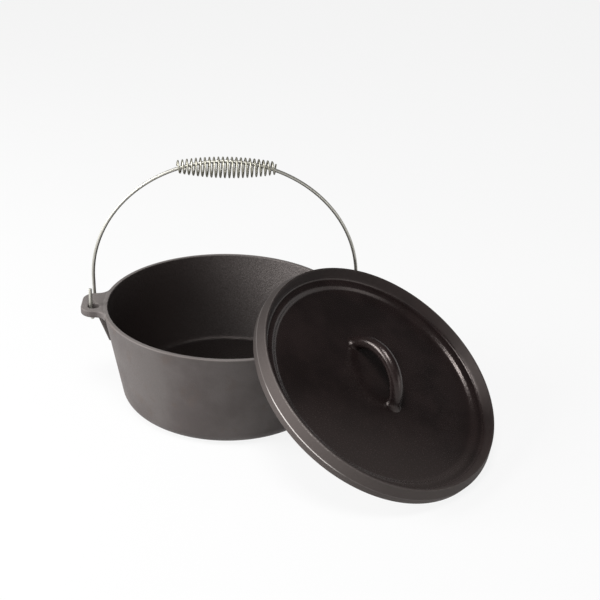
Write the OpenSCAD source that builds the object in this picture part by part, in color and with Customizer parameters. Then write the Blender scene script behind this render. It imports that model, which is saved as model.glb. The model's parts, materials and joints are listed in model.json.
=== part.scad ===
// Camp dutch oven: a cast pot with two ears, a wire bail hooked round the ears, a coil
// spring grip round the bail's top, and a dished lid with a loop handle. The lid is off and
// leans on the pot's rim, and the bail stands up, leaning a little towards the front.
// Millimetres, +Z up. The origin is the middle of the pot's base, on the ground. The ears
// lie along X, the front is towards -Y, and both ears are mirror images across the YZ plane.

/* [Pot] */
// Radius of the mouth, inside the rim
mouth_r = 128; // [122:1:134]
// Width of the rim, which is the wall's thickness along the ground
rim_w = 5; // [4.5:0.25:6.5]
// Round along both edges of the rim
rim_round = 1.2; // [0.6:0.1:1.8]
// Height of the rim above the ground
pot_h = 110; // [100:1:125]
// Lean of the wall outward from upright, in degrees
wall_lean = 10.8; // [6:0.2:13]
// Round of the outer corner between base and wall
base_round = 17; // [10:0.5:22]
// Thickness of the floor
floor_t = 10; // [6:0.25:12]
// Round of the inner corner between floor and wall
inner_round = 6; // [4:0.5:14]

/* [Ears] */
// Reach of an ear beyond the rim's outer edge
ear_reach = 22.5; // [21:0.5:26]
// Thickness of an ear, whose top is level with the rim
ear_t = 7.5; // [6:0.25:9]
// Reach of an ear towards the front from its middle line
ear_front = 26; // [24:0.5:30]
// Reach of an ear towards the back from its middle line
ear_back = 20.5; // [18:0.5:22]
// Round of an ear's two outer corners
ear_corner = 14; // [8:0.5:14]
// Hollow round where an ear's sides run into the rim
ear_blend = 12; // [8:0.5:16]
// Radius of the eye that the bail hooks through
eye_r = 5.9; // [5.4:0.1:6.4]
// Distance of the eye's middle beyond the rim's outer edge
eye_out = 9; // [8.5:0.25:10]
// Distance of the eye's middle in front of the ear's middle line
eye_front = 12; // [11:0.25:13]
// Reach of the web under an ear beyond the rim's outer edge
web_reach = 3.25; // [2:0.25:3.25]
// Drop of the web's foot below the rim
web_drop = 36; // [24:1:48]
// Inset of the web's two sides from the ear's sides
web_inset = 3; // [2:0.5:5]

/* [Bail] */
// Diameter of the bail's wire
wire_d = 3.6; // [3:0.1:3.8]
// Room between a hook and the bar that it goes round
hook_gap = 2.1; // [1.9:0.1:2.3]
// Offset of the hook outward from the eye's middle
hook_out = 0; // [0:0.05:0.3]
// Height of the bail's straight legs, from the hinge to the arch
leg_h = 18.4; // [12:0.2:24]
// Lean of the bail towards the front at rest, in degrees
bail_lean = 8; // [5:0.5:9]
// Sideways offset of the bail in the play of its eyes
bail_shift = -3; // [-3.2:0.1:0]
// Length of the left-hand hook's straight end
left_tip = 22; // [8:1:26]
// Length of the right-hand hook's straight end, which stays under the leaning lid
right_tip = 7; // [5:0.5:7.5]
// Lean of a hook's straight end towards the arch, in degrees
tip_lean = 8; // [6:0.5:9]
// Bevel round the wire's cut ends
tip_bevel = 0.6; // [0.3:0.1:1]

/* [Spring grip] */
// Number of turns
grip_turns = 22; // [18:1:26]
// Length of the coil
grip_len = 101; // [90:1:102]
// Diameter of the coil's wire
coil_d = 1.8; // [1.4:0.1:2]
// Outer diameter of the coil at its middle
grip_mid_d = 22.2; // [22.1:0.1:26]
// Outer diameter of the coil at its ends
grip_end_d = 13.3; // [13.2:0.1:16]
// Room between the coil and the bail's wire
grip_gap = 0.3; // [0.2:0.05:0.4]

/* [Lid] */
// Reach of the lid's widest edge beyond the rim
lid_over = 4.2; // [3:0.1:5]
// Height of the lid from its flat underside to the top of its lip
lid_h = 19.4; // [17:0.2:24]
// Height of the parting edge round the lid's side
parting_h = 9; // [6:0.25:11]
// Inset of the flat underside's edge from the parting edge
under_inset = 1.8; // [1.2:0.1:3]
// Height of the bevel round the underside
under_bevel = 1.2; // [0.6:0.1:2]
// Inset of the lip's outer edge from the parting edge
lip_inset = 4.2; // [3:0.1:6]
// Width of the lip's rounded top
lip_w = 2.2; // [1.6:0.1:3]
// Height of the ledge inside the lip
ledge_h = 7.8; // [7:0.1:9]
// Steepness of the slope from lip to ledge, in degrees
slope_angle = 64; // [58:1:70]
// Hollow round at the foot of the slope
slope_round = 3; // [2:0.25:5]
// Width of the flat ledge, between the slope and the step
ledge_w = 4.4; // [3.8:0.1:6]
// Width of the rounded step between ledge and plate
step_w = 9.5; // [8:0.25:11]
// Thickness of the plate at its edge
plate_t = 3.5; // [3.2:0.1:4.5]
// Rise of the plate's top from its edge to its middle
plate_rise = 4.5; // [3:0.1:5]
// Room between the locating lugs and the pot's mouth
lug_gap = 2; // [1:0.25:3]
// Width of a locating lug where it joins the underside
lug_w = 5; // [4:0.25:7]
// Depth of a locating lug below the underside
lug_h = 4.5; // [3:0.25:6]
// Draft of a locating lug's two sides
lug_draft = 0.8; // [0.4:0.1:1.2]
// Length of a locating lug round the lid, in degrees
lug_arc = 24; // [12:1:36]
// Turn of the first lug's middle from the lid's line of slope, in degrees
lug_turn = 77; // [67:1:87]

/* [Lid handle] */
// Diameter of the handle's bar
handle_d = 13.4; // [11:0.2:15]
// Radius of the handle's arch along the middle of its bar
handle_r = 40.5; // [36:0.5:44]
// Height of the bar's middle above the plate at the arch's top
handle_h = 25.5; // [22:0.5:30]
// Turn of the handle from the lid's line of slope, in degrees
handle_turn = -14; // [-30:1:30]
// Offset of the handle up the slope from the lid's middle
handle_up = 7; // [0:0.5:9]
// Widening of the handle's two feet
foot_flare = 2.4; // [1:0.1:4]
// Height of the feet above the plate
foot_h = 4; // [3:0.25:6]

/* [Lid at rest] */
// Share of the leaning lid that lies over the mouth, beyond the rim
lap_share = 0.265; // [0.25:0.005:0.28]
// Direction in which the lid slopes down, in degrees from +X
lid_turn = -39.8; // [-42:0.1:-38]
// Sideways offset of the lid from the line through the pot's middle, as a share of the rim's radius
side_share = 0.059; // [0.05:0.001:0.068]
// Room between the lid's underside and the rim
lid_gap = 0.4; // [0.3:0.05:0.5]

/* [Hidden] */
$fn = 96;

// Pot and ears: an ear's root reaches into the hollow, and the hollow is cut out of it
overlap = 1;
rim_out = mouth_r + rim_w;
root_depth = 20;
ear_end = rim_out + ear_reach;
ear_root = rim_out - root_depth;
eye_x = rim_out + eye_out;

// Hinge: the middle of the bar between an ear's eye and its back edge
bar_half = (ear_back + eye_front - eye_r) / 2;
hinge_y = ear_back - bar_half;
hinge_z = pot_h - ear_t / 2;

// Bail: the wire is a hair thinner in its bends than in its straight lengths
wire_r = wire_d / 2;
bend_thin = 0.01;
bend_r = wire_r - bend_thin;
hook_r = norm([bar_half, ear_t / 2]) + hook_gap + wire_r;
hook_x = eye_x + hook_out;
bail_top = leg_h + hook_x;

// Spring grip: its rings lie on chords, so their radius is spread round the true one
coil_r = coil_d / 2;
turn_rings = 8;
tube_sides = 6;
ring_step = 360 / turn_rings;
chord_in = cos(ring_step / 2);
ring_out = 2 / (1 + chord_in);
mid_r = grip_mid_d / 2 - coil_r;
end_r = grip_end_d / 2 - coil_r;
grip_drop = mid_r * ring_out * chord_in - coil_r - wire_r - grip_gap;
ring_count = grip_turns * turn_rings;

// Lid
lid_r = rim_out + lid_over;
under_r = lid_r - under_inset;
lip_round = lip_w / 2;
lip_middle = [lid_r - lip_inset - lip_round, lid_h - lip_round];
lip_turn = side_turn(lip_middle - [lid_r, parting_h], lip_round);
slope_top = lip_middle + lip_round * [-sin(slope_angle), cos(slope_angle)];
slope_foot_r = slope_top[0] - (slope_top[1] - ledge_h) / tan(slope_angle);
slope_middle = [slope_foot_r - slope_round * tan(slope_angle / 2), ledge_h + slope_round];
step_out_r = slope_foot_r - ledge_w;
step_in_r = step_out_r - step_w;
step_drop = ledge_h - plate_t;
step_round = (step_w * step_w + step_drop * step_drop) / (4 * step_drop);
step_turn = asin(step_w / 2 / step_round);
dome_r = (step_in_r * step_in_r + plate_rise * plate_rise) / (2 * plate_rise);
dome_turn = asin(step_in_r / dome_r);
arc_steps = 10;
lug_out_r = mouth_r - lug_gap;
lug_in_r = lug_out_r - lug_w;
lug_count = 3;

// Lid handle: its arch ends at half the plate's thickness
plate_top = plate_t + plate_rise;
handle_mid = handle_r - handle_h;
handle_dip = asin((handle_mid - plate_top / 2) / handle_r);
foot_x = sqrt(handle_r * handle_r - handle_mid * handle_mid);

// Lid's place: its underside's edge on the ground, its underside just clear of the rim
rim_mid = rim_corner(rim_out, 1);
lid_side = side_share * rim_out;
lid_slope = asin(pot_h / (2 * under_r * (1 - lap_share)));
lid_z = under_r * sin(lid_slope);
rim_reach = rim_mid[0] * sin(lid_slope) + rim_mid[1] * cos(lid_slope) + rim_round;
lid_out = (rim_reach + lid_gap - lid_z * cos(lid_slope)) / sin(lid_slope);

function arc(middle, radius, from, to) =
    [for (step = [0:arc_steps]) let (turn = from + (to - from) * step / arc_steps)
        middle + radius * [cos(turn), sin(turn)]];
function side_turn(span, radius) = atan2(span[1], span[0]) - asin(radius / norm(span)) - 90;
function wall_at(rim_r, z) = rim_r - (pot_h - z) * tan(wall_lean);
function rim_corner(rim_r, side) =
    [wall_at(rim_r, pot_h - rim_round) - side * rim_round / cos(wall_lean), pot_h - rim_round];
function floor_corner(rim_r, z, round_r) =
    [wall_at(rim_r, z + round_r) - round_r / cos(wall_lean), z + round_r];
function wall_touch(corner, round_r) = corner + round_r * [cos(wall_lean), -sin(wall_lean)];

// Half section of the pot as if it were solid
module pot_outside() {
    base = floor_corner(rim_out, 0, base_round);
    rim = rim_corner(rim_out, 1);
    polygon([[0, 0], [base[0], 0], base, wall_touch(base, base_round),
        wall_touch(rim, rim_round), rim, [rim[0], pot_h], [0, pot_h]]);
    translate(base) circle(base_round);
    translate(rim) circle(rim_round);
}

// Half section of the pot's hollow
module pot_inside() {
    corner = floor_corner(mouth_r, floor_t, inner_round);
    rim = rim_corner(mouth_r, -1);
    difference() {
        union() {
            polygon([[0, floor_t], [corner[0], floor_t], corner, wall_touch(corner, inner_round),
                wall_touch(rim, -rim_round), rim, [rim[0], pot_h + overlap], [0, pot_h + overlap]]);
            translate(corner) circle(inner_round);
        }
        translate(rim) circle(rim_round);
    }
}

// Hollow round between the rim and one side of an ear, side being 1 at the back, -1 in front
module ear_side(edge, side) {
    middle = [sqrt(pow(rim_out + ear_blend, 2) - pow(edge + ear_blend, 2)), edge + ear_blend];
    on_rim = middle * rim_out / (rim_out + ear_blend);
    mirror([0, side < 0 ? 1 : 0]) difference() {
        polygon([[middle[0], edge - overlap], [middle[0], edge], middle, on_rim,
            on_rim * ear_root / rim_out, [ear_root, edge - overlap]]);
        translate(middle) circle(ear_blend);
    }
}

// Outline of the right-hand ear, seen from above
module ear_outline() {
    width = ear_front + ear_back;
    translate([ear_root, -ear_front]) square([ear_end - ear_corner - ear_root, width]);
    translate([ear_root, ear_corner - ear_front]) square([ear_end - ear_root, width - 2 * ear_corner]);
    translate([ear_end - ear_corner, ear_corner - ear_front]) circle(ear_corner);
    translate([ear_end - ear_corner, ear_back - ear_corner]) circle(ear_corner);
    ear_side(ear_back, 1);
    ear_side(ear_front, -1);
}

// Web that carries an ear, wedge shaped, seen from the side
module web_outline() {
    top = pot_h - ear_t + overlap;
    foot = pot_h - web_drop;
    polygon([[ear_root, top], [rim_out + web_reach, top], [rim_out + web_reach, pot_h - ear_t - overlap],
        [wall_at(rim_out, foot) - overlap, foot], [ear_root - web_drop * tan(wall_lean), foot]]);
}

module ear() {
    translate([0, 0, pot_h - ear_t]) linear_extrude(ear_t) ear_outline();
    translate([0, ear_back - web_inset, 0]) rotate([90, 0, 0])
        linear_extrude(ear_front + ear_back - 2 * web_inset) web_outline();
}

// One casting: the pot and its two ears
module pot() {
    color([0.16, 0.15, 0.15]) difference() {
        union() {
            rotate_extrude() pot_outside();
            for (side = [0, 1]) mirror([side, 0, 0]) ear();
        }
        rotate_extrude() pot_inside();
        for (side = [-1, 1]) translate([side * eye_x, -eye_front, pot_h - ear_t - overlap])
            cylinder(h = ear_t + 2 * overlap, r = eye_r);
    }
}

// Hook round an ear's bar: over half a turn under it, and a straight end through the eye
module hook(tip_len) {
    rotate([0, 90, 0]) rotate([0, 0, -90 - tip_lean])
        rotate_extrude(angle = 180 + tip_lean) translate([hook_r, 0]) circle(bend_r);
    rotate([-tip_lean, 0, 0]) translate([0, -hook_r, 0]) {
        cylinder(h = tip_len, r = wire_r);
        translate([0, 0, tip_len]) cylinder(h = tip_bevel, r1 = wire_r, r2 = wire_r - tip_bevel);
    }
}

// Carries the bail and what rides on it from the hinge to the leaning rest pose
module at_hinge() {
    translate([bail_shift, hinge_y, hinge_z]) rotate([bail_lean, 0, 0]) children();
}

// One bent wire: the arch, its two legs and a hook at each end
module bail() {
    color([0.75, 0.74, 0.7]) at_hinge() {
        translate([0, hook_r, leg_h]) rotate([90, 0, 0])
            rotate_extrude(angle = 180) translate([hook_x, 0]) circle(bend_r);
        for (side = [-1, 1]) translate([side * hook_x, 0, 0]) {
            translate([0, hook_r, 0]) cylinder(h = leg_h, r = wire_r);
            hook(side < 0 ? left_tip : right_tip);
        }
    }
}

// Middle of the coil's wire at a given ring, counted from the left end, coil along X
function coil_at(ring) =
    let (along = 2 * ring / ring_count - 1,
        radius = ring_out * (end_r + (mid_r - end_r) * (1 - along * along)))
    [along * grip_len / 2, radius * cos(ring * ring_step), radius * sin(ring * ring_step)];

function unit(v) = v / norm(v);

// Both ends run on straight for one wire diameter
coil_start = coil_at(0) + coil_d * unit(coil_at(0) - coil_at(1));
coil_stop = coil_at(ring_count) + coil_d * unit(coil_at(ring_count) - coil_at(ring_count - 1));
coil_path = concat([coil_start], [for (ring = [0:ring_count]) coil_at(ring)], [coil_stop]);
coil_last = len(coil_path) - 1;

// Least gap of the coil to itself, between rings more than half a turn apart
coil_gap = min([for (a = [0:coil_last]) for (b = [a + turn_rings / 2 + 1:1:coil_last])
    norm(coil_path[a] - coil_path[b])]) - coil_d;
echo(coil_gap = coil_gap);

// Corners of the tube round one point of the coil's path
function coil_corners(place) =
    let (ahead = unit(coil_path[min(place + 1, coil_last)] - coil_path[max(place - 1, 0)]),
        out = [0, coil_path[place][1], coil_path[place][2]],
        up = unit(out - ahead * (out * ahead)),
        across = cross(ahead, up))
    [for (corner = [0:tube_sides - 1]) let (turn = corner * 360 / tube_sides)
        coil_path[place] + coil_r * (up * cos(turn) + across * sin(turn))];

// The coil spring that the hand holds, straight, with the bail's arch running through it
module spring_grip() {
    corners = [for (place = [0:coil_last]) each coil_corners(place)];
    sides = [for (place = [0:coil_last - 1]) for (corner = [0:tube_sides - 1])
        let (here = place * tube_sides, next = here + tube_sides, other = (corner + 1) % tube_sides)
        each [[here + corner, next + other, here + other], [here + corner, next + corner, next + other]]];
    start = [for (corner = [1:tube_sides - 2]) [0, corner, corner + 1]];
    last = coil_last * tube_sides;
    stop = [for (corner = [1:tube_sides - 2]) [last, last + corner + 1, last + corner]];
    color([0.8, 0.79, 0.75]) at_hinge() translate([0, hook_r, bail_top - grip_drop])
        polyhedron(points = corners, faces = concat(sides, start, stop));
}

// Half section of the lid without its handle, from the axis outward below and inward above
module lid_section() {
    polygon(concat(
        [[0, 0], [under_r, 0], [under_r + under_bevel, under_bevel], [lid_r, parting_h]],
        arc(lip_middle, lip_round, lip_turn, 90 + slope_angle),
        arc(slope_middle, slope_round, slope_angle - 90, -90),
        arc([step_out_r, ledge_h - step_round], step_round, 90, 90 + step_turn),
        arc([step_in_r, plate_t + step_round], step_round, step_turn - 90, -90),
        arc([0, plate_top - dome_r], dome_r, 90 - dome_turn, 90)));
}

// Lug under the lid that drops just inside the mouth and keeps a closed lid in place
module lug() {
    rotate([0, 0, -lug_arc / 2]) rotate_extrude(angle = lug_arc)
        polygon([[lug_in_r, overlap], [lug_in_r, 0], [lug_in_r + lug_draft, -lug_h],
            [lug_out_r - lug_draft, -lug_h], [lug_out_r, 0], [lug_out_r, overlap]]);
}

// Loop handle: an arch of round bar whose feet run into the plate
module lid_handle() {
    translate([0, 0, plate_top - handle_mid]) rotate([90, 0, 0]) rotate([0, 0, handle_dip])
        rotate_extrude(angle = 180 - 2 * handle_dip) translate([handle_r, 0]) circle(handle_d / 2);
    for (side = [-1, 1]) translate([side * foot_x, 0, plate_t / 2])
        cylinder(h = plate_rise + plate_t / 2 + foot_h, r1 = handle_d / 2 + foot_flare, r2 = handle_d / 2);
}

// One casting: the lid, its locating lugs and its handle
module lid() {
    color([0.14, 0.13, 0.13]) rotate([0, 0, lid_turn]) translate([lid_out, lid_side, lid_z])
        rotate([0, lid_slope, 0]) {
            rotate_extrude() lid_section();
            for (place = [0:lug_count - 1]) rotate([0, 0, lug_turn + place * 360 / lug_count]) lug();
            rotate([0, 0, handle_turn]) translate([-handle_up, 0, 0]) lid_handle();
        }
}

pot();
bail();
spring_grip();
lid();
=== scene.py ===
# %% [markdown]
# # A camp dutch oven
# The oven is two iron castings, one bent wire and one coil spring. Its measured solids are loaded
# first and never change. Each visible piece is then modelled again at the same place and size, with
# the rounded edges, the grain and the finish that a measured solid leaves out.

# %% Load the measured solids
import json
import math
import bmesh
import bpy
from mathutils import Matrix, Vector


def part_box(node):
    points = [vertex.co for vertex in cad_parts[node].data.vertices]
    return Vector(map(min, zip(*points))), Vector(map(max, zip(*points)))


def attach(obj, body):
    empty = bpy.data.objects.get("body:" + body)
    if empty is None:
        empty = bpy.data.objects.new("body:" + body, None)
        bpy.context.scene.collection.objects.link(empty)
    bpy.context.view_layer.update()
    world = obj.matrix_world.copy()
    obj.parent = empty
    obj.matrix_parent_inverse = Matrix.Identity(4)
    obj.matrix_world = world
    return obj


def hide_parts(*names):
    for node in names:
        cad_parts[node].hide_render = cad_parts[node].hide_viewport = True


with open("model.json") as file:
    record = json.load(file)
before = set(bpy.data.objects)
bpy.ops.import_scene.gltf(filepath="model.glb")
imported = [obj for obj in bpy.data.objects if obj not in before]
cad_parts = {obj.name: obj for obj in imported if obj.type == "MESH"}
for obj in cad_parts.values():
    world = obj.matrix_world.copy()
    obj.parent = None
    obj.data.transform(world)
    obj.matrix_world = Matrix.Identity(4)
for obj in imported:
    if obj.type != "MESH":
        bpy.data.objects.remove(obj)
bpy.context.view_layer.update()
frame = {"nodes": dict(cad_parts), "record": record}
joints = {joint["name"]: joint for joint in frame["record"]["behaviour"]["joints"]}
print("solids:", ", ".join(frame["nodes"]))

# %% [markdown]
# ## Drawing a section
# A cast pot and its lid are both turned shapes: one section line, swept once round an axis. In
# Blender the line could be typed as a list of points, but a draughtsman thinks in runs and rounds.
# So a small pen draws it: a straight run extrudes the last vertex, and a round spins it. A long run
# gets one extra vertex close to each end, which keeps smooth shading from smearing a round's
# highlight over the flat beside it.

# %% A pen for sections
MM = 0.001
HOLD = 0.6 * MM


class Pen:
    """Draws a line of edges in the XZ plane, one straight run or round after the other."""

    def __init__(self, bm, x, z):
        self.bm = bm
        self.last = bm.verts.new((x, 0, z))

    def step(self, place):
        self.last = bmesh.ops.extrude_vert_indiv(self.bm, verts=[self.last])["verts"][0]
        self.last.co = place

    def run(self, x, z):
        start = self.last.co.copy()
        stop = Vector((x, 0, z))
        length = (stop - start).length
        if length > 4 * HOLD:
            self.step(start.lerp(stop, HOLD / length))
            self.step(start.lerp(stop, 1 - HOLD / length))
        self.step(stop)

    def turn(self, x, z, degrees, steps):
        made = bmesh.ops.spin(self.bm, geom=[self.last], cent=(x, 0, z), axis=(0, -1, 0),
                              angle=math.radians(degrees), steps=steps)
        self.last = [item for item in made["geom_last"] if isinstance(item, bmesh.types.BMVert)][0]


def turn_round(bm, steps):
    """Spins the drawn line once round Z, then closes the seam and the two poles."""
    bmesh.ops.spin(bm, geom=bm.verts[:] + bm.edges[:], cent=(0, 0, 0), axis=(0, 0, 1),
                   angle=2 * math.pi, steps=steps, use_merge=True)
    close_up(bm)


def close_up(bm):
    bmesh.ops.remove_doubles(bm, verts=bm.verts, dist=0.002 * MM)
    bmesh.ops.recalc_face_normals(bm, faces=bm.faces)


def soften(bm, edges, width, segments=3):
    """Rounds the given edges, as a casting's or a cut wire's edges are rounded."""
    bmesh.ops.bevel(bm, geom=edges, offset=width, offset_type="OFFSET", segments=segments,
                    profile=0.5, affect="EDGES", material=-1, clamp_overlap=True)


def sharp_edges(edges, degrees):
    limit = math.radians(degrees)
    return [edge for edge in edges if len(edge.link_faces) == 2 and edge.calc_face_angle() > limit]


def finished(bm, name):
    """Makes an object of the bmesh, at the origin, with smooth shading."""
    mesh = bpy.data.meshes.new(name)
    bm.to_mesh(mesh)
    bm.free()
    mesh.shade_smooth()
    piece = bpy.data.objects.new(name, mesh)
    bpy.context.scene.collection.objects.link(piece)
    print(name, len(mesh.polygons), "faces")
    return piece


# %% [markdown]
# ## Pot
# The pot is a thin cast bowl: a flat base, a wide round, a wall that leans out so that the casting
# leaves its sand mould, and a flat rim with two small rounds. The section runs from the axis along
# the underside, up the outside, over the rim, down the inside and back to the axis on the floor.

# %% Section of the pot
MOUTH_R = 128 * MM
RIM_W = 5 * MM
RIM_OUT = MOUTH_R + RIM_W
RIM_ROUND = 1.2 * MM
POT_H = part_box("pot")[1][2]
WALL_LEAN = 10.8
BASE_ROUND = 17 * MM
FLOOR_T = 10 * MM
INNER_ROUND = 6 * MM
POT_STEPS = 192

lean = math.radians(WALL_LEAN)


def wall_at(rim_r, z):
    """Radius of a wall that reaches rim_r at the rim's level."""
    return rim_r - (POT_H - z) * math.tan(lean)


def round_middle(rim_r, z, inset):
    return wall_at(rim_r, z) - inset / math.cos(lean)


def pot_section(bm):
    base_r = round_middle(RIM_OUT, BASE_ROUND, BASE_ROUND)
    rim_z = POT_H - RIM_ROUND
    outer_r = round_middle(RIM_OUT, rim_z, RIM_ROUND)
    inner_r = round_middle(MOUTH_R, rim_z, -RIM_ROUND)
    floor_z = FLOOR_T + INNER_ROUND
    floor_r = round_middle(MOUTH_R, floor_z, INNER_ROUND)
    pen = Pen(bm, 0, 0)
    pen.run(base_r, 0)
    pen.turn(base_r, BASE_ROUND, 90 - WALL_LEAN, 16)
    pen.run(outer_r + RIM_ROUND * math.cos(lean), rim_z - RIM_ROUND * math.sin(lean))
    pen.turn(outer_r, rim_z, 90 + WALL_LEAN, 8)
    pen.run(inner_r, POT_H)
    pen.turn(inner_r, rim_z, 90 - WALL_LEAN, 8)
    pen.run(floor_r + INNER_ROUND * math.cos(lean), floor_z - INNER_ROUND * math.sin(lean))
    pen.turn(floor_r, floor_z, WALL_LEAN - 90, 16)
    pen.run(0, FLOOR_T)


pot_bm = bmesh.new()
pot_section(pot_bm)
turn_round(pot_bm, POT_STEPS)
print("pot bowl:", len(pot_bm.faces), "faces")

# %% [markdown]
# ## Ears
# Each ear is a flat tab, level with the rim, with an eye for the bail. Its sides run into the rim in
# hollow rounds, and a web under it fades into the wall. A tab's outline is drawn from above with the
# same pen, filled round its eye, and thickened. The root ends inside the rim's own flat, a hair
# below it, so the top of ear and rim reads as one cast surface.

# %% Tab and web of an ear
EAR_REACH = 22.5 * MM
EAR_END = RIM_OUT + EAR_REACH
EAR_T = 7.5 * MM
EAR_FRONT = 26 * MM
EAR_BACK = 20.5 * MM
EAR_CORNER = 14 * MM
EAR_BLEND = 12 * MM
EYE_R = 5.9 * MM
EYE_OUT = 9 * MM
EYE_X = RIM_OUT + EYE_OUT
EYE_FRONT = 12 * MM
ROOT_DEPTH = 2.4 * MM
EAR_ROOT = RIM_OUT - ROOT_DEPTH
EAR_SINK = 0.03 * MM
EAR_SOFT = 1.3 * MM
WEB_REACH = 3.25 * MM
WEB_DROP = 36 * MM
WEB_INSET = 3 * MM
WEB_SOFT = 2.2 * MM


def blend_middle(edge):
    """Middle of the hollow round that joins an ear's side to the rim."""
    side = edge + EAR_BLEND
    return math.sqrt((RIM_OUT + EAR_BLEND) ** 2 - side ** 2), side


def draw_tab(bm):
    back_x, back_y = blend_middle(EAR_BACK)
    front_x, front_y = blend_middle(EAR_FRONT)
    corner_x = EAR_END - EAR_CORNER
    back_turn = math.degrees(math.atan2(back_y, back_x))
    front_turn = math.degrees(math.atan2(front_y, front_x))
    root_share = EAR_ROOT / (RIM_OUT + EAR_BLEND)
    pen = Pen(bm, front_x * root_share, -front_y * root_share)
    rim_share = RIM_OUT / (RIM_OUT + EAR_BLEND)
    pen.run(front_x * rim_share, -front_y * rim_share)
    pen.turn(front_x, -front_y, front_turn - 90, 10)
    pen.run(corner_x, -EAR_FRONT)
    pen.turn(corner_x, EAR_CORNER - EAR_FRONT, 90, 14)
    pen.run(EAR_END, EAR_BACK - EAR_CORNER)
    pen.turn(corner_x, EAR_BACK - EAR_CORNER, 90, 14)
    pen.run(back_x, EAR_BACK)
    pen.turn(back_x, back_y, back_turn - 90, 10)
    pen.run(back_x * root_share, back_y * root_share)
    pen.turn(0, 0, -back_turn - front_turn, 16)
    bmesh.ops.create_circle(bm, segments=40, radius=EYE_R,
                            matrix=Matrix.Translation((EYE_X, 0, -EYE_FRONT))
                            @ Matrix.Rotation(math.pi / 2, 4, "X"))


def make_tab():
    bm = bmesh.new()
    draw_tab(bm)
    bmesh.ops.remove_doubles(bm, verts=bm.verts, dist=0.01 * MM)
    bmesh.ops.rotate(bm, verts=bm.verts, cent=(0, 0, 0), matrix=Matrix.Rotation(-math.pi / 2, 3, "X"))
    bmesh.ops.triangle_fill(bm, edges=bm.edges[:], use_beauty=True)
    bmesh.ops.dissolve_limit(bm, angle_limit=0.01, verts=bm.verts[:], edges=bm.edges[:])
    made = bmesh.ops.extrude_face_region(bm, geom=bm.faces[:])["geom"]
    raised = [item for item in made if isinstance(item, bmesh.types.BMVert)]
    bmesh.ops.translate(bm, verts=raised, vec=(0, 0, EAR_T))
    bmesh.ops.translate(bm, verts=bm.verts, vec=(0, 0, POT_H - EAR_T - EAR_SINK))
    bmesh.ops.recalc_face_normals(bm, faces=bm.faces)
    soften(bm, sharp_edges(bm.edges, 60), EAR_SOFT)
    return bm


def make_web():
    bm = bmesh.new()
    top = POT_H - 0.5 * EAR_T
    foot = POT_H - WEB_DROP
    depth = 0.5 * RIM_W
    pen = Pen(bm, wall_at(RIM_OUT, top) - depth, top)
    pen.step((wall_at(RIM_OUT, foot) - depth, 0, foot))
    pen.step((wall_at(RIM_OUT, foot) - 0.2 * depth, 0, foot))
    pen.step((RIM_OUT + WEB_REACH, 0, POT_H - EAR_T - MM))
    pen.step((RIM_OUT + WEB_REACH, 0, top))
    bmesh.ops.contextual_create(bm, geom=bm.verts[:])
    made = bmesh.ops.extrude_face_region(bm, geom=bm.faces[:])["geom"]
    moved = [item for item in made if isinstance(item, bmesh.types.BMVert)]
    bmesh.ops.translate(bm, verts=moved, vec=(0, EAR_FRONT + EAR_BACK - 2 * WEB_INSET, 0))
    bmesh.ops.translate(bm, verts=bm.verts, vec=(0, WEB_INSET - EAR_FRONT, 0))
    bmesh.ops.recalc_face_normals(bm, faces=bm.faces)
    soften(bm, sharp_edges(bm.edges, 10), WEB_SOFT)
    return bm


# %% Both ears join the pot
def add_mesh(bm, other):
    """Copies another bmesh into this one."""
    mesh = bpy.data.meshes.new("passing")
    other.to_mesh(mesh)
    other.free()
    bm.from_mesh(mesh)
    bpy.data.meshes.remove(mesh)


ear_bm = make_tab()
add_mesh(ear_bm, make_web())
bmesh.ops.mirror(ear_bm, geom=ear_bm.verts[:] + ear_bm.edges[:] + ear_bm.faces[:], axis="X", merge_dist=0)
bmesh.ops.recalc_face_normals(ear_bm, faces=ear_bm.faces)
add_mesh(pot_bm, ear_bm)
pot = finished(pot_bm, "pot_casting")
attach(pot, "pot_body")
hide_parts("pot")

# %% [markdown]
# ## Lid
# The lid is a shallow dish that holds coals: a lip, a slope, a flat ledge, a rounded step and a
# slightly domed plate. Its outside shows the parting edge of the mould. It is drawn flat, from the
# axis along the underside and back over the top, and tilted into place once it is whole.

# %% Section of the lid
LID_OVER = 4.2 * MM
LID_R = RIM_OUT + LID_OVER
UNDER_INSET = 1.8 * MM
UNDER_R = LID_R - UNDER_INSET
UNDER_BEVEL = 1.2 * MM
PARTING_H = 9 * MM
LID_H = 19.4 * MM
LIP_ROUND = 1.1 * MM
LIP_INSET = 4.2 * MM
LIP_R = LID_R - LIP_INSET - LIP_ROUND
SLOPE = 64
SLOPE_ROUND = 3 * MM
LEDGE_H = 7.8 * MM
LEDGE_W = 4.4 * MM
STEP_W = 9.5 * MM
PLATE_T = 3.5 * MM
PLATE_RISE = 4.5 * MM
PARTING_SOFT = 0.35 * MM
LID_STEPS = 224


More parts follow.
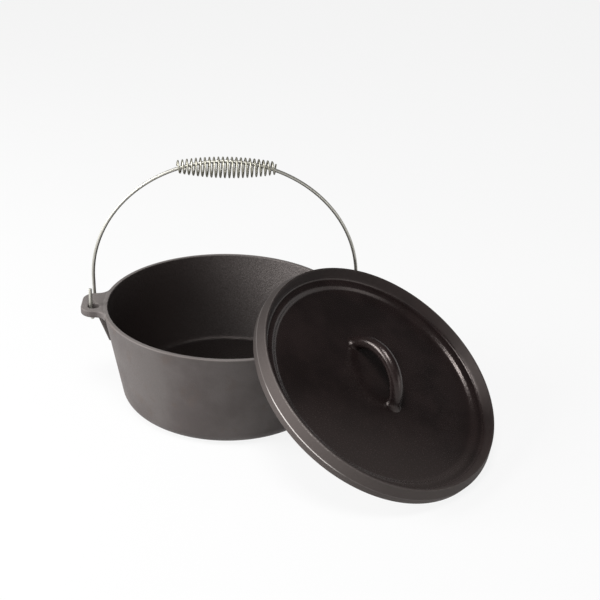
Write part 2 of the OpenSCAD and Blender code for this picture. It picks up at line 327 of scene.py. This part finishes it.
def lid_section(bm):
    lip_z = LID_H - LIP_ROUND
    across = Vector((LIP_R - LID_R, lip_z - PARTING_H))
    lip_turn = math.degrees(math.atan2(across.y, across.x) - math.asin(LIP_ROUND / across.length)) - 90
    slope = math.radians(SLOPE)
    lip = math.radians(lip_turn)
    top_r = LIP_R - LIP_ROUND * math.sin(slope)
    top_z = lip_z + LIP_ROUND * math.cos(slope)
    foot_r = top_r - (top_z - LEDGE_H) / math.tan(slope)
    hollow_r = foot_r - SLOPE_ROUND * math.tan(slope / 2)
    hollow_z = LEDGE_H + SLOPE_ROUND
    out_r = foot_r - LEDGE_W
    in_r = out_r - STEP_W
    drop = LEDGE_H - PLATE_T
    step_round = (STEP_W ** 2 + drop ** 2) / (4 * drop)
    step_turn = math.degrees(math.asin(STEP_W / 2 / step_round))
    dome_r = (in_r ** 2 + PLATE_RISE ** 2) / (2 * PLATE_RISE)
    dome_turn = math.degrees(math.asin(in_r / dome_r))
    pen = Pen(bm, 0, 0)
    pen.run(UNDER_R, 0)
    pen.step((UNDER_R + UNDER_BEVEL, 0, UNDER_BEVEL))
    pen.step((LID_R, 0, PARTING_H))
    pen.run(LIP_R + LIP_ROUND * math.cos(lip), lip_z + LIP_ROUND * math.sin(lip))
    pen.turn(LIP_R, lip_z, 90 + SLOPE - lip_turn, 10)
    pen.run(hollow_r + SLOPE_ROUND * math.sin(slope), hollow_z - SLOPE_ROUND * math.cos(slope))
    pen.turn(hollow_r, hollow_z, -SLOPE, 8)
    pen.run(out_r, LEDGE_H)
    pen.turn(out_r, LEDGE_H - step_round, step_turn, 10)
    pen.turn(in_r, PLATE_T + step_round, -step_turn, 10)
    pen.turn(0, PLATE_T + PLATE_RISE - dome_r, dome_turn, 24)


lid_bm = bmesh.new()
lid_section(lid_bm)
turn_round(lid_bm, LID_STEPS)
soften(lid_bm, sharp_edges(lid_bm.edges, 20), PARTING_SOFT, 2)
print("lid plate:", len(lid_bm.faces), "faces")

# %% [markdown]
# ## Lid handle and lugs
# The handle is a round bar bent to an arch, cast in one with the lid, so its feet spread where they
# meet the plate. A circle spun along the arch makes the bar. Then every vertex near the plate moves
# outward from the bar's middle, more the lower it is, which makes the spread. Under the lid, three
# short lugs keep a closed lid from sliding off. Each is a drawn outline spun through a few degrees.

# %% Handle and lugs
PLATE_TOP = PLATE_T + PLATE_RISE
HANDLE_BAR = 6.7 * MM
HANDLE_R = 40.5 * MM
HANDLE_H = 25.5 * MM
HANDLE_MID = PLATE_TOP + HANDLE_H - HANDLE_R
HANDLE_TURN = -14
HANDLE_UP = 7 * MM
FOOT_Z = 3.5 * MM
FOOT_H = 5 * MM
FOOT_TOP = PLATE_TOP + FOOT_H
FOOT_SPREAD = 6 * MM
LUG_GAP = 2 * MM
LUG_OUT = MOUTH_R - LUG_GAP
LUG_W = 5 * MM
LUG_H = 4.5 * MM
LUG_DRAFT = 0.8 * MM
LUG_ARC = 24
LUG_TURNS = (77, 197, 317)
LUG_SOFT = 0.9 * MM


def make_handle():
    bm = bmesh.new()
    dip = math.asin((FOOT_Z - HANDLE_MID) / HANDLE_R)
    ring = bmesh.ops.create_circle(bm, segments=40, radius=HANDLE_BAR, cap_ends=True,
                                   matrix=Matrix.Translation((HANDLE_R, 0, 0)))["verts"]
    bmesh.ops.rotate(bm, verts=ring, cent=(0, 0, 0), matrix=Matrix.Rotation(-dip, 3, "Y"))
    bmesh.ops.translate(bm, verts=ring, vec=(0, 0, HANDLE_MID))
    bmesh.ops.spin(bm, geom=bm.faces[:], cent=(0, 0, HANDLE_MID), axis=(0, -1, 0),
                   angle=math.pi - 2 * dip, steps=72)
    for vert in bm.verts:
        low = (FOOT_TOP - vert.co.z) / (FOOT_TOP - FOOT_Z)
        if low > 0:
            height = vert.co.z - HANDLE_MID
            middle = math.copysign(math.sqrt(HANDLE_R ** 2 - height ** 2), vert.co.x)
            away = Vector((vert.co.x - middle, vert.co.y, 0))
            vert.co += away.normalized() * FOOT_SPREAD * low ** 2
    close_up(bm)
    bmesh.ops.translate(bm, verts=bm.verts, vec=(-HANDLE_UP, 0, 0))
    bmesh.ops.rotate(bm, verts=bm.verts, cent=(0, 0, 0),
                     matrix=Matrix.Rotation(math.radians(HANDLE_TURN), 3, "Z"))
    return bm


def make_lug(turn):
    bm = bmesh.new()
    pen = Pen(bm, LUG_OUT - LUG_W, PLATE_T / 2)
    for x, z in ((LUG_OUT - LUG_W, 0), (LUG_OUT - LUG_W + LUG_DRAFT, -LUG_H),
                 (LUG_OUT - LUG_DRAFT, -LUG_H), (LUG_OUT, 0), (LUG_OUT, PLATE_T / 2)):
        pen.step((x, 0, z))
    bmesh.ops.contextual_create(bm, geom=bm.verts[:])
    bmesh.ops.rotate(bm, verts=bm.verts, cent=(0, 0, 0),
                     matrix=Matrix.Rotation(math.radians(turn - LUG_ARC / 2), 3, "Z"))
    bmesh.ops.spin(bm, geom=bm.faces[:], cent=(0, 0, 0), axis=(0, 0, 1),
                   angle=math.radians(LUG_ARC), steps=14)
    close_up(bm)
    low = [edge for edge in sharp_edges(bm.edges, 30) if min(vert.co.z for vert in edge.verts) < -LUG_H / 2]
    soften(bm, low, LUG_SOFT)
    return bm


add_mesh(lid_bm, make_handle())
for lug_turn in LUG_TURNS:
    add_mesh(lid_bm, make_lug(lug_turn))

# %% [markdown]
# ## The lid at rest
# The lid lies with one edge on the ground and its underside against the pot's rim, a little to one
# side of the pot's middle. Its place could be typed in, but the rest of it follows from three things
# that are known: the lid's own axis, along which it is lifted off, its lowest edge, which is on the
# ground, and the rim's round, which the underside just clears.

# %% The lid leans on the rim
LID_GAP = 0.4 * MM
SIDE_SHARE = 0.059

lid_axis = Vector(joints["lid_lift"]["axis"])
lid_slope = math.acos(lid_axis.z)
lid_turn = math.atan2(lid_axis.y, lid_axis.x)
lid_z = UNDER_R * math.sin(lid_slope)
rim_z = POT_H - RIM_ROUND
rim_r = round_middle(RIM_OUT, rim_z, RIM_ROUND)
rim_reach = rim_r * math.sin(lid_slope) + rim_z * math.cos(lid_slope) + RIM_ROUND
lid_out = (rim_reach + LID_GAP - lid_z * math.cos(lid_slope)) / math.sin(lid_slope)
print("lid's middle beyond the pot's axis, in mm:", round(1000 * lid_out, 3))
lid_place = (Matrix.Rotation(lid_turn, 4, "Z")
             @ Matrix.Translation((lid_out, SIDE_SHARE * RIM_OUT, lid_z))
             @ Matrix.Rotation(lid_slope, 4, "Y"))
bmesh.ops.transform(lid_bm, matrix=lid_place, verts=lid_bm.verts)
lid = finished(lid_bm, "lid_casting")
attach(lid, "lid_body")
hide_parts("lid")

# %% [markdown]
# ## Bail
# The bail is one length of steel wire: a half circle with two short legs, each bent round the bar of
# an ear into a hook whose end comes up through the eye. A curve with a bevel would be quick, but a
# ring that is extruded for each straight and spun for each bend keeps every length and bend exact.

# %% Bail wire
WIRE_R = 1.8 * MM
HOOK_GAP = 2.1 * MM
HOOK_X = EYE_X
LEG_H = 18.4 * MM
LEFT_TIP = 22.6 * MM
RIGHT_TIP = 7.6 * MM
TIP_LEAN = math.radians(8)
TIP_BEVEL = 0.6 * MM
BAIL_LEAN = math.radians(8)
BAIL_SHIFT = -3 * MM

hinge = Vector(joints["bail_swing"]["pos_m"])
hook_r = math.hypot(EAR_BACK - hinge.y, EAR_T / 2) + HOOK_GAP + WIRE_R
bail_place = (Matrix.Translation((BAIL_SHIFT, hinge.y, hinge.z)) @ Matrix.Rotation(BAIL_LEAN, 4, "X"))
tip_way = Vector((0, math.sin(TIP_LEAN), math.cos(TIP_LEAN)))


class Rod:
    """A round wire that grows from its first cut end, by straight lengths and bends."""

    def __init__(self, start, way, radius, sides):
        self.bm = bmesh.new()
        turn = way.to_track_quat("Z", "Y").to_matrix().to_4x4()
        bmesh.ops.create_circle(self.bm, segments=sides, radius=radius,
                                matrix=Matrix.Translation(start) @ turn)
        self.ring = self.bm.edges[:]

    def straight(self, way):
        made = bmesh.ops.extrude_edge_only(self.bm, edges=self.ring)["geom"]
        verts = [item for item in made if isinstance(item, bmesh.types.BMVert)]
        bmesh.ops.translate(self.bm, verts=verts, vec=way)
        self.keep(made)

    def bend(self, middle, axis, angle, steps, rise=Vector()):
        verts = list({vert for edge in self.ring for vert in edge.verts})
        made = bmesh.ops.spin(self.bm, geom=verts + self.ring, cent=middle, axis=axis, angle=angle,
                              dvec=rise / steps, steps=steps)
        self.keep(made["geom_last"])

    def keep(self, made):
        edges = [item for item in made if isinstance(item, bmesh.types.BMEdge)]
        self.ring = [edge for edge in edges if len(edge.link_faces) == 1]

    def cut_ends(self, bevel):
        """Closes both ends with a bevelled face."""
        caps = bmesh.ops.holes_fill(self.bm, edges=self.bm.edges[:], sides=0)["faces"]
        bmesh.ops.recalc_face_normals(self.bm, faces=self.bm.faces)
        soften(self.bm, [edge for cap in caps for edge in cap.edges], bevel, 2)


def hook_end(side, tip):
    """Where a hook's straight end stops."""
    start = Vector((side * HOOK_X, -hook_r * math.cos(TIP_LEAN), hook_r * math.sin(TIP_LEAN)))
    return start + tip * tip_way


hook_turn = math.pi + TIP_LEAN
bail_rod = Rod(hook_end(-1, LEFT_TIP), -tip_way, WIRE_R, 20)
bail_rod.straight(-tip_way * LEFT_TIP)
bail_rod.bend((-HOOK_X, 0, 0), (1, 0, 0), hook_turn, 32)
bail_rod.straight((0, 0, LEG_H))
bail_rod.bend((0, hook_r, LEG_H), (0, 1, 0), math.pi, 144)
bail_rod.straight((0, 0, -LEG_H))
bail_rod.bend((HOOK_X, 0, 0), (1, 0, 0), -hook_turn, 32)
bail_rod.straight(tip_way * RIGHT_TIP)
bail_rod.cut_ends(TIP_BEVEL)
bmesh.ops.transform(bail_rod.bm, matrix=bail_place, verts=bail_rod.bm.verts)
bail = finished(bail_rod.bm, "bail_wire")
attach(bail, "bail_body")
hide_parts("bail")

# %% [markdown]
# ## Spring grip
# The grip is an open coil of thinner wire, wider in its middle than at its ends, that hangs loose
# round the bail. Its helix could be worked out point by point, but a spin with a shift at every step
# winds a straight coil in one move. Moving each vertex out from the coil's axis, by a parabola along
# it, then gives the coil its barrel shape.

# %% Spring wire
COIL_R = 0.9 * MM
COIL_TURNS = 22
COIL_LEN = 101 * MM
COIL_MID = 10.2 * MM
COIL_END = 5.75 * MM
COIL_STEPS = 28
CUT_BEVEL = 0.25 * MM

grip_axis = bail_place.inverted() @ Vector(joints["grip_spin"]["pos_m"])
coil_way = Vector((COIL_LEN / COIL_TURNS / (2 * math.pi * COIL_END), 0, 1)).normalized()
coil_rod = Rod(Vector((-COIL_LEN / 2, COIL_END, 0)) - 2 * COIL_R * coil_way, coil_way, COIL_R, 12)
coil_rod.straight(2 * COIL_R * coil_way)
coil_rod.bend((0, 0, 0), (1, 0, 0), 2 * math.pi * COIL_TURNS, COIL_TURNS * COIL_STEPS,
              Vector((COIL_LEN, 0, 0)))
coil_rod.straight(2 * COIL_R * coil_way)
coil_rod.cut_ends(CUT_BEVEL)
for vert in coil_rod.bm.verts:
    along = min(1, abs(2 * vert.co.x / COIL_LEN))
    out = Vector((0, vert.co.y, vert.co.z)).normalized()
    vert.co += out * (COIL_MID - COIL_END) * (1 - along ** 2)
bmesh.ops.translate(coil_rod.bm, verts=coil_rod.bm.verts, vec=(0, grip_axis.y, grip_axis.z))
bmesh.ops.transform(coil_rod.bm, matrix=bail_place, verts=coil_rod.bm.verts)
spring = finished(coil_rod.bm, "spring_coil")
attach(spring, "grip_body")
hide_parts("spring_grip")

# %% [markdown]
# ## Writing a finish
# A finish is a material made of nodes. Long chains of Math nodes are hard to read, so a socket is
# wrapped in a class whose operators add those nodes, and every other node comes from one method.

# %% Sockets that do arithmetic, and a finish that makes nodes
class Amount:
    """A shader socket that can stand in a Python expression."""

    def __init__(self, finish, socket):
        self.finish = finish
        self.socket = socket

    def math(self, operation, first, second=0.0):
        return self.finish.node("ShaderNodeMath", {"operation": operation}, {0: first, 1: second})

    def __add__(self, other):
        return self.math("ADD", self, other)

    def __sub__(self, other):
        return self.math("SUBTRACT", self, other)

    def __rsub__(self, other):
        return self.math("SUBTRACT", other, self)

    def __mul__(self, other):
        return self.math("MULTIPLY", self, other)

    def __pow__(self, other):
        return self.math("POWER", self, other)

    __radd__ = __add__
    __rmul__ = __mul__

    def ramp(self, low, high, bottom=0.0, top=1.0):
        """Rises smoothly from bottom to top while this amount goes from low to high."""
        return self.finish.node("ShaderNodeMapRange", {"interpolation_type": "SMOOTHSTEP"},
                                {0: self, 1: low, 2: high, 3: bottom, 4: top})


class Finish:
    """One material, whose nodes are made by name."""

    def __init__(self, name):
        self.material = bpy.data.materials.new(name)
        self.material.use_nodes = True
        self.tree = self.material.node_tree
        self.shader = self.tree.nodes["Principled BSDF"]
        self.place = self.node("ShaderNodeTexCoord", out="Object")

    def node(self, kind, settings=None, inputs=None, out=0):
        made = self.tree.nodes.new(kind)
        for name, value in (settings or {}).items():
            setattr(made, name, value)
        for name, value in (inputs or {}).items():
            self.feed(made.inputs[name], value)
        return Amount(self, made.outputs[out])

    def feed(self, socket, value):
        if isinstance(value, Amount):
            self.tree.links.new(value.socket, socket)
        else:
            socket.default_value = value

    def set(self, **inputs):
        for name, value in inputs.items():
            self.feed(self.shader.inputs[name.replace("_", " ")], value)

    def split(self, place):
        """The three coordinates of a place."""
        return [self.node("ShaderNodeSeparateXYZ", {}, {0: place}, out=axis) for axis in range(3)]

    def noise(self, size, detail=2.0, roughness=0.5):
        """Cloudy noise whose blotches are about as large as size, in metres."""
        return self.node("ShaderNodeTexNoise", {}, {
            "Vector": self.place, "Scale": 1 / size, "Detail": detail, "Roughness": roughness})

    def mix(self, share, first, second):
        """Colour between first, where share is 0, and second, where it is 1."""
        return self.node("ShaderNodeMix", {"data_type": "RGBA"}, {0: share, 6: first, 7: second}, out=2)

    def worn_edge(self, width):
        """1 along rounded edges and 0 on flats, from how far a rounded normal departs from the true one."""
        rounded = self.node("ShaderNodeBevel", {"samples": 6}, {"Radius": width})
        true = self.node("ShaderNodeNewGeometry", out="Normal")
        same = self.node("ShaderNodeVectorMath", {"operation": "DOT_PRODUCT"},
                         {0: rounded, 1: true}, out="Value")
        return (1 - same).ramp(0.004, 0.09)

    def bump(self, height):
        """Lets the light see a relief, whose height is in metres."""
        normal = self.node("ShaderNodeBump", {}, {"Height": height, "Distance": 1.0, "Strength": 1.0})
        self.feed(self.shader.inputs["Normal"], normal)

    def on(self, piece):
        piece.data.materials.clear()
        piece.data.materials.append(self.material)
        print(self.material.name, len(self.tree.nodes), "nodes on", piece.name)


# %% [markdown]
# ## Pot iron
# Seasoned cast iron is nearly black, with a satin skin of baked oil over a fine sand grain. Large
# soft clouds vary its tone, browner patches show where the oil was thick, and all handled edges are
# worn paler. The flat tops of the rim and the ears are painted paler, as painted light on faces that
# look up. The inside has a coarser grain and is painted darker, as painted shade; its pale specks grow
# towards its right side as painted light, and its floor is painted darker still as shade. A painted
# image could hold all that, but one noise for each size of detail is enough, mixed by masks that come
# from the pot's own measures.

# %% Pot iron
IRON_DARK = (0.064, 0.055, 0.053, 1)
IRON_PALE = (0.090, 0.081, 0.078, 1)
IRON_BROWN = (0.074, 0.056, 0.048, 1)
# Painted light: the flat tops of the rim and the ears are made paler, as faces that look up.
IRON_TOP_PAINTED_LIGHT = (0.125, 0.114, 0.109, 1)
# Painted shade inside and on its floor; painted light in the inside's specks, growing to its right.
IRON_INSIDE_PAINTED_SHADE = (0.0150, 0.0110, 0.0104, 1)
IRON_SPECK_AND_PAINTED_LIGHT = (0.088, 0.080, 0.077, 1)
IRON_FLOOR_PAINTED_SHADE = (0.0060, 0.0045, 0.0042, 1)
IRON_EDGE = (0.260, 0.246, 0.234, 1)
IRON_SHEEN = (1.0, 0.88, 0.84, 1)

pot_iron = Finish("pot_iron_seasoned")
across, along, up = pot_iron.split(pot_iron.place)
radius = (across * across + along * along) ** 0.5
depth_in = MOUTH_R - (POT_H - up) * math.tan(lean) - radius
inside = depth_in.ramp(-1.0 * MM, -0.2 * MM)
inner_wall = (up - FLOOR_T).ramp(1 * MM, 5 * MM)
painted_top_light = (up - POT_H).ramp(-0.5 * MM, -0.1 * MM)
clouds = pot_iron.noise(60 * MM, 4, 0.55)
stains = pot_iron.noise(24 * MM, 3, 0.6)
grain = pot_iron.noise(1.3 * MM, 3, 0.6)
grit = pot_iron.noise(2.6 * MM, 3, 0.55)
edge = pot_iron.worn_edge(1.4 * MM)
outer = pot_iron.mix(clouds.ramp(0.35, 0.65), IRON_DARK, IRON_PALE)
outer = pot_iron.mix(stains.ramp(0.56, 0.72) * 0.5, outer, IRON_BROWN)
outer = pot_iron.mix(grain.ramp(0.5, 0.75) * 0.4, outer, IRON_PALE)
# Painted light: the flat tops of the rim and the ears are made paler.
outer = pot_iron.mix(painted_top_light * 0.7, outer, IRON_TOP_PAINTED_LIGHT)
# Painted light: the inside's pale grain specks grow stronger towards its right side.
specks_and_painted_light = grain.ramp(0.36, 0.70, 0.5, 1.0) * across.ramp(-0.8 * MOUTH_R, 0.7 * MOUTH_R, 0.05, 1.0)
inner = pot_iron.mix(specks_and_painted_light, IRON_INSIDE_PAINTED_SHADE, IRON_SPECK_AND_PAINTED_LIGHT)
# Painted shade: the inside's floor is darker than its wall.
inner = pot_iron.mix(inner_wall, IRON_FLOOR_PAINTED_SHADE, inner)
colour = pot_iron.mix(inside, outer, inner)
colour = pot_iron.mix(edge * stains.ramp(0.3, 0.6) * 0.8, colour, IRON_EDGE)
shine = grain.ramp(0.3, 0.7, 0.50, 0.66) - inside * 0.16
pot_iron.set(Base_Color=colour, Roughness=shine, IOR=1.4, Specular_Tint=IRON_SHEEN)
pot_iron.bump(grain * (0.10 * MM + inside * 0.15 * MM) + grit * (0.12 * MM + inside * 0.35 * MM))
pot_iron.on(pot)

# %% [markdown]
# ## Lid iron
# The lid has the same skin, darker, warmer and smoother on its top, which catches bright lines along
# its rings. Its plate is painted paler towards its low left, as a painted reflection. Its outside is
# dull and painted darker towards its upper left, as painted shade. Its edges are worn a little paler,
# and along one stretch the parting edge and the lip carry painted highlights, bright lines on that
# wear. These zones run round the lid's own axis, which leans, so a Mapping node first turns the
# place back to that axis. Radius and height then pick out each zone.

# %% Lid iron
LID_DARK = (0.0080, 0.0052, 0.0050, 1)
LID_WARM = (0.0150, 0.0098, 0.0094, 1)
LID_OUTSIDE = (0.058, 0.049, 0.046, 1)
LID_PAINTED_SHADE = (0.012, 0.0095, 0.0088, 1)
LID_PAINTED_REFLECTION = (0.042, 0.034, 0.032, 1)
LID_SEAM_WEAR_AND_HIGHLIGHT = (0.52, 0.49, 0.47, 1)
LID_EDGE_WEAR_AND_HIGHLIGHT = (0.300, 0.278, 0.262, 1)
WORN_FROM = LIP_R - 12 * MM

lid_iron = Finish("lid_iron_seasoned")
lid_local = lid_iron.node("ShaderNodeMapping", {"vector_type": "TEXTURE"}, {
    "Vector": lid_iron.place, "Location": lid_place.to_translation(), "Rotation": lid_place.to_euler()})
across, along, up = lid_iron.split(lid_local)
radius = (across * across + along * along) ** 0.5
outside = (radius - LIP_R).ramp(0, 0.9 * MM)
clouds = lid_iron.noise(50 * MM, 4, 0.55)
stains = lid_iron.noise(20 * MM, 3, 0.6)
grain = lid_iron.noise(1.2 * MM, 3, 0.6)
grit = lid_iron.noise(2.4 * MM, 3, 0.55)
edge = lid_iron.worn_edge(1.2 * MM)
colour = lid_iron.mix(clouds.ramp(0.35, 0.65), LID_DARK, LID_WARM)
# Painted reflection: the plate is paler towards its low left.
colour = lid_iron.mix((across - along).ramp(30 * MM, 170 * MM) * 0.8, colour, LID_PAINTED_REFLECTION)
# Painted shade: the outer wall is darker towards its upper left.
side = lid_iron.mix(across.ramp(-0.9 * LID_R, 0), LID_PAINTED_SHADE, LID_OUTSIDE)
colour = lid_iron.mix(outside, colour, side)
seam = (up - PARTING_H).ramp(-0.9 * MM, -0.4 * MM) * (PARTING_H - up).ramp(-0.7 * MM, -0.2 * MM) * outside
# Painted highlight: along this stretch the parting edge and the lip get bright lines over their wear.
highlight_stretch = (0 - along).ramp(0.90 * LID_R, 0.985 * LID_R)
lip_line = (up - LID_H).ramp(-1.8 * MM, -1.0 * MM) * (radius - LIP_R).ramp(0.3 * MM, 0.9 * MM)
worn = edge * (radius - WORN_FROM).ramp(0, 4 * MM) * (0.12 + outside * 0.6)
colour = lid_iron.mix(worn * stains.ramp(0.3, 0.6), colour, LID_EDGE_WEAR_AND_HIGHLIGHT)
colour = lid_iron.mix(lip_line * grain.ramp(0.40, 0.65) * (0.1 + highlight_stretch * 0.5), colour, LID_EDGE_WEAR_AND_HIGHLIGHT)
colour = lid_iron.mix(seam * (0.08 + highlight_stretch * 0.8) * grit.ramp(0.2, 0.5, 0.5, 1.0), colour, LID_SEAM_WEAR_AND_HIGHLIGHT)
wall_in = (radius - LIP_R).ramp(-6 * MM, -4 * MM)
under = (0 - up).ramp(-0.9 * MM, -0.3 * MM)
shine = grain.ramp(0.3, 0.7, 0.19, 0.29) + wall_in * 0.3 + outside * 0.2 + under * 0.45
lid_iron.set(Base_Color=colour, Roughness=shine, IOR=1.45, Specular_Tint=IRON_SHEEN)
lid_iron.bump(grain * 0.08 * MM + grit * 0.09 * MM)
lid_iron.on(lid)

# %% [markdown]
# ## Wires
# Both wires are plated steel. Drawing leaves faint scratches on a wire, and the plating has small dull
# spots. A plain grey metal would look like paint, so a fine noise stands for the scratches and
# a coarser one for the spots. The two wires share this one recipe and differ in tone.

# %% Bail and spring wire
BAIL_BRIGHT = (0.46, 0.45, 0.41, 1)
BAIL_DULL = (0.34, 0.33, 0.29, 1)
SPRING_BRIGHT = (0.34, 0.33, 0.28, 1)
SPRING_DULL = (0.24, 0.23, 0.19, 1)


def wire_finish(name, bright, dull, smooth):
    finish = Finish(name)
    spots = finish.noise(3 * MM, 3, 0.6)
    scratches = finish.noise(0.6 * MM, 2, 0.5)
    colour = finish.mix(spots.ramp(0.4, 0.7) * 0.6, bright, dull)
    colour = finish.mix(scratches.ramp(0.5, 0.8) * 0.4, colour, dull)
    finish.set(Base_Color=colour, Metallic=1.0, Roughness=spots.ramp(0.3, 0.7, smooth, smooth + 0.1))
    finish.bump(scratches * 0.02 * MM)
    return finish


wire_finish("bail_steel", BAIL_BRIGHT, BAIL_DULL, 0.42).on(bail)
wire_finish("spring_steel", SPRING_BRIGHT, SPRING_DULL, 0.44).on(spring)

# %% [markdown]
# ## Floor, light and camera
# The oven stands on a plain white floor that keeps its soft shadow. The floor is round and rises far
# off in a wide curve, as in a photo studio, so no horizon shows from any side. The same pen that drew
# the pot draws its section. To the camera and in reflections the floor is nearly white by itself, so
# the lamps needn't be raised to whiten it. A large soft light stands at the left, a second hangs above,
# a weak third stands at the right, and a dim even room fills the shadows.

# %% Floor and room
FLOOR_R = 12.0
COVE_R = 3.0
WALL_TOP = 4.0
FLOOR_WHITE = 0.55
FLOOR_GLOW = 0.88
ROOM_LIGHT = 0.09

floor_bm = bmesh.new()
floor_pen = Pen(floor_bm, 0, 0)
floor_pen.run(FLOOR_R, 0)
floor_pen.turn(FLOOR_R, COVE_R, 90, 16)
floor_pen.run(FLOOR_R + COVE_R, WALL_TOP)
turn_round(floor_bm, 96)
floor = finished(floor_bm, "floor")


def white_floor():
    """A pale floor that the camera, metal and glass see as nearly white."""
    finish = Finish("floor_white")
    tone = finish.noise(0.4, 2).ramp(0, 1, FLOOR_WHITE - 0.02, FLOOR_WHITE + 0.02)
    finish.set(Base_Color=tone, Roughness=0.9)
    seen = 0
    for ray in ("Is Camera Ray", "Is Glossy Ray", "Is Transmission Ray"):
        seen = seen + finish.node("ShaderNodeLightPath", out=ray)
    plain = Amount(finish, finish.shader.outputs[0])
    glow = finish.node("ShaderNodeEmission", {}, {"Strength": 1.0, "Color": (1, 1, 1, 1)})
    blend = finish.node("ShaderNodeMixShader", {}, {0: seen * FLOOR_GLOW, 1: plain, 2: glow})
    finish.feed(finish.tree.nodes["Material Output"].inputs["Surface"], blend)
    return finish


white_floor().on(floor)

world = bpy.data.worlds.new("studio")
world.use_nodes = True
bpy.context.scene.world = world
world.node_tree.nodes["Background"].inputs["Color"].default_value = (1, 1, 1, 1)
world.node_tree.nodes["Background"].inputs["Strength"].default_value = ROOM_LIGHT
print("room light", ROOM_LIGHT)

# %% Lights
LOOK_AT = Vector((0.05, -0.03, 0.08))


def soft_light(name, place, size, watts):
    lamp = bpy.data.lights.new(name, "AREA")
    lamp.shape = "DISK"
    lamp.size = size
    lamp.energy = watts
    holder = bpy.data.objects.new(name, lamp)
    holder.location = place
    holder.rotation_euler = (LOOK_AT - Vector(place)).to_track_quat("-Z", "Y").to_euler()
    bpy.context.scene.collection.objects.link(holder)
    print(name, watts, "W")


soft_light("left_softbox", (-1.55, -0.3, 0.85), 1.1, 56)
soft_light("top_softbox", (-0.2, -0.7, 1.85), 0.7, 30)
soft_light("right_softbox", (1.3, -1.0, 0.45), 0.8, 2.5)

# %% Camera
PAN = 0.069114
TILT = 0.442336
ROLL = 0.040034
CAMERA_PLACE = Vector((0, -1.118177, 0.644243))
LENS_MM = 69.0
SENSOR_MM = 36.0

camera_data = bpy.data.cameras.new("camera")
camera_data.lens = LENS_MM
camera_data.sensor_width = SENSOR_MM
camera = bpy.data.objects.new("camera", camera_data)
ahead = Vector((math.sin(PAN) * math.cos(TILT), math.cos(PAN) * math.cos(TILT), -math.sin(TILT)))
level = Vector((math.cos(PAN), -math.sin(PAN), 0))
above = level.cross(ahead)
right = math.cos(ROLL) * level + math.sin(ROLL) * above
top = math.cos(ROLL) * above - math.sin(ROLL) * level
turn = Matrix((right, top, -ahead)).transposed()
camera.matrix_world = Matrix.Translation(CAMERA_PLACE) @ turn.to_4x4()
bpy.context.scene.collection.objects.link(camera)
bpy.context.scene.camera = camera
bpy.context.scene.view_settings.view_transform = "Standard"
